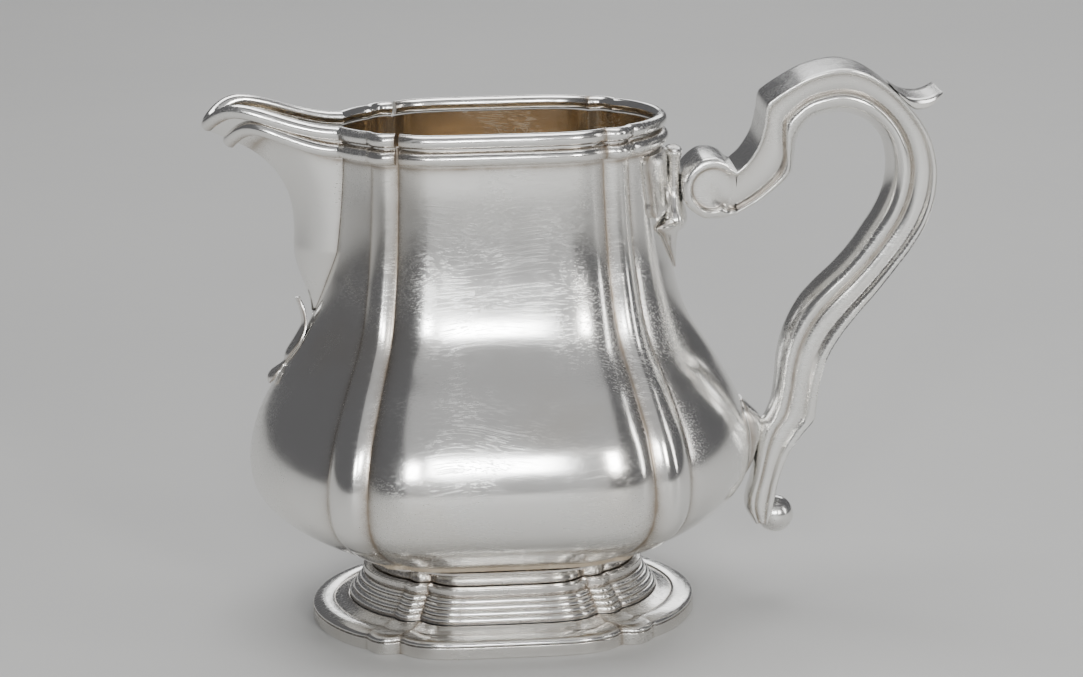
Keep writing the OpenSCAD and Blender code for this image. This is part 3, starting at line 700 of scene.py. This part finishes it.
handleSize = {"strapWidth": 11.5, "ballRadius": 3.3, "ball": (48.9, 15.9), "steps": 9,
              "slim": 0.46, "slimFirst": 13, "slimSteps": 18}
# share of the way from strap to roll, share of half the strap's width, grime
section = [
    (0, 0, 0), (0, 0.94, 0), (0.02, 1, 0), (0.06, 1, 0), (0.09, 0.95, 0.1), (0.12, 0.87, 0.3),
    (0.16, 0.84, 0.2), (0.28, 0.82, 0), (0.38, 0.77, 0.1), (0.42, 0.71, 0.3), (0.45, 0.66, 0.6),
    (0.48, 0.7, 0.4), (0.53, 0.79, 0.1), (0.61, 0.83, 0), (0.71, 0.8, 0), (0.82, 0.68, 0),
    (0.92, 0.45, 0), (0.98, 0.2, 0), (1, 0, 0)]
# where the outer groove and the groove beside the roll lie, as shares of the way from strap to roll
grooveSteps = (0, 2.5, 5, 13, 24, 32)
outerGroove = (0.12, 0.12, 0.12, 0.14, 0.26, 0.26)
rollGroove = (0.8, 0.78, 0.5, 0.48, 0.62, 0.62)


def curve(points, steps):
    # Catmull-Rom curve: half of 2b + (c-a)t + (2a-5b+4c-d)t^2 + (3b-a-3c+d)t^3
    points = np.asarray(points, float)
    u = np.linspace(0, len(points) - 1, steps * (len(points) - 1) + 1)
    k = np.minimum(u.astype(int), len(points) - 2)
    t = (u - k)[:, None]
    a, b, c, d = (points[np.clip(k + shift, 0, len(points) - 1)] for shift in (-1, 0, 1, 2))
    return 0.5 * (2 * b + (c - a) * t + (2 * a - 5 * b + 4 * c - d) * t * t
                  + (3 * b - a - 3 * c + d) * t ** 3)


def shares(step):
    # the section's shares, stretched so that its two grooves lie where this step of the handle has them
    first, second = (np.interp(step, grooveSteps, g)[:, None] for g in (outerGroove, rollGroove))
    p = np.clip(share, 0, 1)[None, :]
    middle = first + (p - 0.12) / 0.33 * (second - first)
    return np.where(p < 0.12, p / 0.12 * first,
                    np.where(p < 0.45, middle, second + (p - 0.45) / 0.55 * (1 - second)))


strap, roll = curve(strapLine, handleSize["steps"]), curve(rollLine, handleSize["steps"])
share, width, dirt = curve(section, 5).T
dirt = np.clip(dirt, 0, 1)[None, :]
along = np.linspace(0, len(strapLine) - 1, len(strap))
slim = 1 - handleSize["slim"] * smooth((along - handleSize["slimFirst"]) / handleSize["slimSteps"])
at = strap[:, None] + (roll - strap)[:, None] * shares(along)[:, :, None]
for side, name in ((-1, "front"), (1, "back")):
    y = side * (0.01 + np.maximum(width, 0)[None, :] * slim[:, None] * handleSize["strapWidth"] / 2)
    loops = np.stack([at[:, :, 0], y, at[:, :, 1]], 2)
    barPiece("jug_handle_" + name, "handle_%s_half" % name, loops, cast, 0 * y + dirt)

# The volute's outline runs from its left end over the top, and under the bottom, to the end of the arm
voluteStrap = [(31.6, 77.0), (31.75, 78.5), (32.4, 80.0), (33.7, 81.4), (35.3, 82.4), (37.2, 82.5),
               (38.9, 81.8), (40.2, 80.6), (41, 80.1)]
voluteRoll = [(31.6, 76.8), (31.8, 75.3), (32.5, 73.9), (33.8, 72.8), (35.2, 71.9), (36.7, 71.5),
              (38.2, 71.2), (39.6, 71.15), (41, 71.45)]
voluteSize = {"centre": (36.9, 77.0), "dish": 3.75, "dishDepth": 0.95, "round": 1.3, "steps": 16}


def volutePiece():
    # y = disc x (1 - join) + arm x join: a disc with a raised round rim and a dished face, which turns
    # into the arm's own section where the two meet
    top, under = curve(voluteStrap, voluteSize["steps"]), curve(voluteRoll, voluteSize["steps"])
    join = smooth((np.linspace(0, 1, len(top)) - 0.5) / 0.5)[:, None]
    even = 0.5 - 0.5 * np.cos(math.pi * np.linspace(0, 1, len(share)))
    cut = even[None, :] * (1 - join) + shares(0 * top[:, 0]) * join
    points = top[:, None] + (under - top)[:, None] * cut[:, :, None]
    ends = (cut < 1e-6) | (cut > 1 - 1e-6)
    # distance in from the outline, measured to the nearest point of it
    outline = np.concatenate([top, under])
    gap = np.min(np.linalg.norm(points[:, :, None] - outline[None, None], axis=3), axis=2)
    gap = np.where(ends, 0, gap)
    rounded = np.sqrt(np.clip(1 - (1 - np.clip(gap / voluteSize["round"], 0, 1)) ** 2, 0, 1))
    far = np.linalg.norm(points - np.array(voluteSize["centre"]), axis=2)
    dish = voluteSize["dishDepth"] * smooth((voluteSize["dish"] + 0.35 - far) / 0.7)
    half = handleSize["strapWidth"] / 2
    disc = half * (0.86 + 0.14 * rounded) - dish - (1 - rounded) * 0.2
    y = np.where(ends, 0, disc * (1 - join) + half * np.maximum(width, 0)[None, :] * join)
    grime = 0.9 * np.exp(-np.abs(far - voluteSize["dish"] + 0.25) / 0.3) * (1 - join) + dirt * join
    front, back = (np.stack([points[:, :, 0], v, points[:, :, 1]], 2) for v in (-y, y))
    ring = np.concatenate([front, back[:, ::-1][:, 1:-1]], 1)
    barPiece("jug_volute", "handle_volute", ring, cast,
             np.concatenate([grime, grime[:, ::-1][:, 1:-1]], 1))


volutePiece()

# The ball, turned about the Y axis
ballX, ballZ = handleSize["ball"]
t = np.linspace(-math.pi / 2 + 0.02, math.pi / 2 - 0.02, 40)[:, None]
a = np.linspace(0, 2 * math.pi, 73)[:-1]
r, y = handleSize["ballRadius"] * np.cos(t), handleSize["ballRadius"] * np.sin(t)
loops = np.stack([ballX + r * np.cos(a), y + 0 * a, ballZ + r * np.sin(a)], 2)
barPiece("jug_ball", "handle_ball", loops, cast, 0 * y + 0 * a)

# The thumb tip: a flat strap between two curves, drawn in towards its end
tipTop = curve([(68.4, 93.3), (70.4, 92), (72.4, 91.5), (74.6, 91.7), (76.5, 92.7)], 10)
tipUnder = curve([(69.3, 92.05), (71.25, 90.2), (72.6, 89.9), (74.4, 90.3), (76.4, 92.1)], 10)
halfWidth = handleSize["strapWidth"] / 2 * (1 - 0.12 * np.linspace(0, 1, len(tipTop)) ** 3)
cross = np.array([(0, -0.9), (0, 0.9), (0.25, 1), (0.75, 1), (1, 0.9), (1, -0.9), (0.75, -1), (0.25, -1)])
step = np.linspace(0, 1, 6)[:-1, None]
cross = np.concatenate([cross[k] + (cross[(k + 1) % 8] - cross[k]) * step for k in range(8)])
at = tipTop[:, None] + (tipUnder - tipTop)[:, None] * cross[None, :, :1]
loops = np.stack([at[:, :, 0], cross[None, :, 1] * halfWidth[:, None], at[:, :, 1]], 2)
barPiece("jug_thumb_tip", "handle_thumb_tip", loops, cast, 0.1 * np.ones(loops.shape[:2]))
print("handle made")

# Floor
s = Surface("pale floor")
s.set("Base Color", s.mix(s.noise(9.0, 4.0), (0.60, 0.60, 0.59, 1), (0.66, 0.655, 0.64, 1)))
s.set("Roughness", 0.5 + 0.15 * s.noise(120.0, 3.0))
s.bump(s.noise(700.0, 4.0), 0.08, 0.0002)
mesh = bpy.data.meshes.new("floor")
mesh.from_pydata([(-4, -4, 0), (4, -4, 0), (4, 4, 0), (-4, 4, 0)], [], [(0, 1, 2, 3)])
mesh.materials.append(s.material)
floor = bpy.data.objects.new("floor", mesh)
bpy.context.scene.collection.objects.link(floor)

# Light: soft boxes in front, above and behind, and a dim even room
lights = [  # name, place, aim, size, power, colour
    ("front low", (0.0, -1.5, 0.45), (0, 0, 0.1), (1.1, 0.9), 1.2, (1, 1, 1)),
    ("front high", (0.1, -1.2, 1.15), (0, 0, 0.1), (1.5, 0.9), 1.5, (1, 1, 1)),
    ("left square", (-0.30, -1.0, 0.40), (0, 0, 0.05), (0.13, 0.15), 1.9, (0.97, 0.99, 1)),
    ("middle square", (-0.02, -1.0, 0.42), (0, 0, 0.05), (0.19, 0.15), 2.6, (0.97, 0.99, 1)),
    ("right square", (0.44, -0.95, 0.42), (0, 0, 0.05), (0.13, 0.2), 2.4, (1, 0.99, 0.96)),
    ("right strip", (1.1, -0.5, 0.5), (0, 0, 0.05), (0.12, 0.7), 2.2, (1, 0.99, 0.97)),
    ("top", (0.0, 0.15, 1.3), (0, 0, 0), (0.9, 0.8), 10.5, (1, 1, 1)),
    ("back", (0.3, 1.3, 0.7), (0, 0, 0.05), (0.9, 0.4), 3.5, (0.98, 0.99, 1)),
]


for name, place, aim, size, power, colour in lights:
    data = bpy.data.lights.new(name, "AREA")
    data.shape, data.size, data.size_y = "RECTANGLE", size[0], size[1]
    data.energy, data.color = power, colour
    light = bpy.data.objects.new(name, data)
    light.location = place
    light.rotation_euler = (Vector(aim) - Vector(place)).to_track_quat("-Z", "Y").to_euler()
    bpy.context.scene.collection.objects.link(light)
world = bpy.data.worlds.new("room")
world.use_nodes = True
world.node_tree.nodes["Background"].inputs["Color"].default_value = (0.12, 0.12, 0.125, 1)
world.node_tree.nodes["Background"].inputs["Strength"].default_value = 1.0
bpy.context.scene.world = world

# Camera
cameraSize = {"distance": 0.5405, "azimuth": -3.55, "elevation": 16.61, "aimHeight": 0.045,
              "yaw": -4.37, "pitch": 16.10, "roll": -0.71, "lens": 102.51524, "sensor": 36.0}
data = bpy.data.cameras.new("camera")
data.sensor_width, data.lens = cameraSize["sensor"], cameraSize["lens"]
data.clip_start, data.clip_end = 0.01, 20
camera = bpy.data.objects.new("camera", data)
azimuth, elevation = math.radians(cameraSize["azimuth"]), math.radians(cameraSize["elevation"])
camera.location = (bodyAxis * metres + cameraSize["distance"] * math.sin(azimuth) * math.cos(elevation),
                   -cameraSize["distance"] * math.cos(azimuth) * math.cos(elevation),
                   cameraSize["aimHeight"] + cameraSize["distance"] * math.sin(elevation))
camera.rotation_euler = (Matrix.Rotation(math.radians(cameraSize["yaw"]), 3, "Z")
                         @ Matrix.Rotation(math.radians(90 - cameraSize["pitch"]), 3, "X")
                         @ Matrix.Rotation(math.radians(cameraSize["roll"]), 3, "Z")).to_euler()
bpy.context.scene.collection.objects.link(camera)
bpy.context.scene.camera = camera
print("stage made")
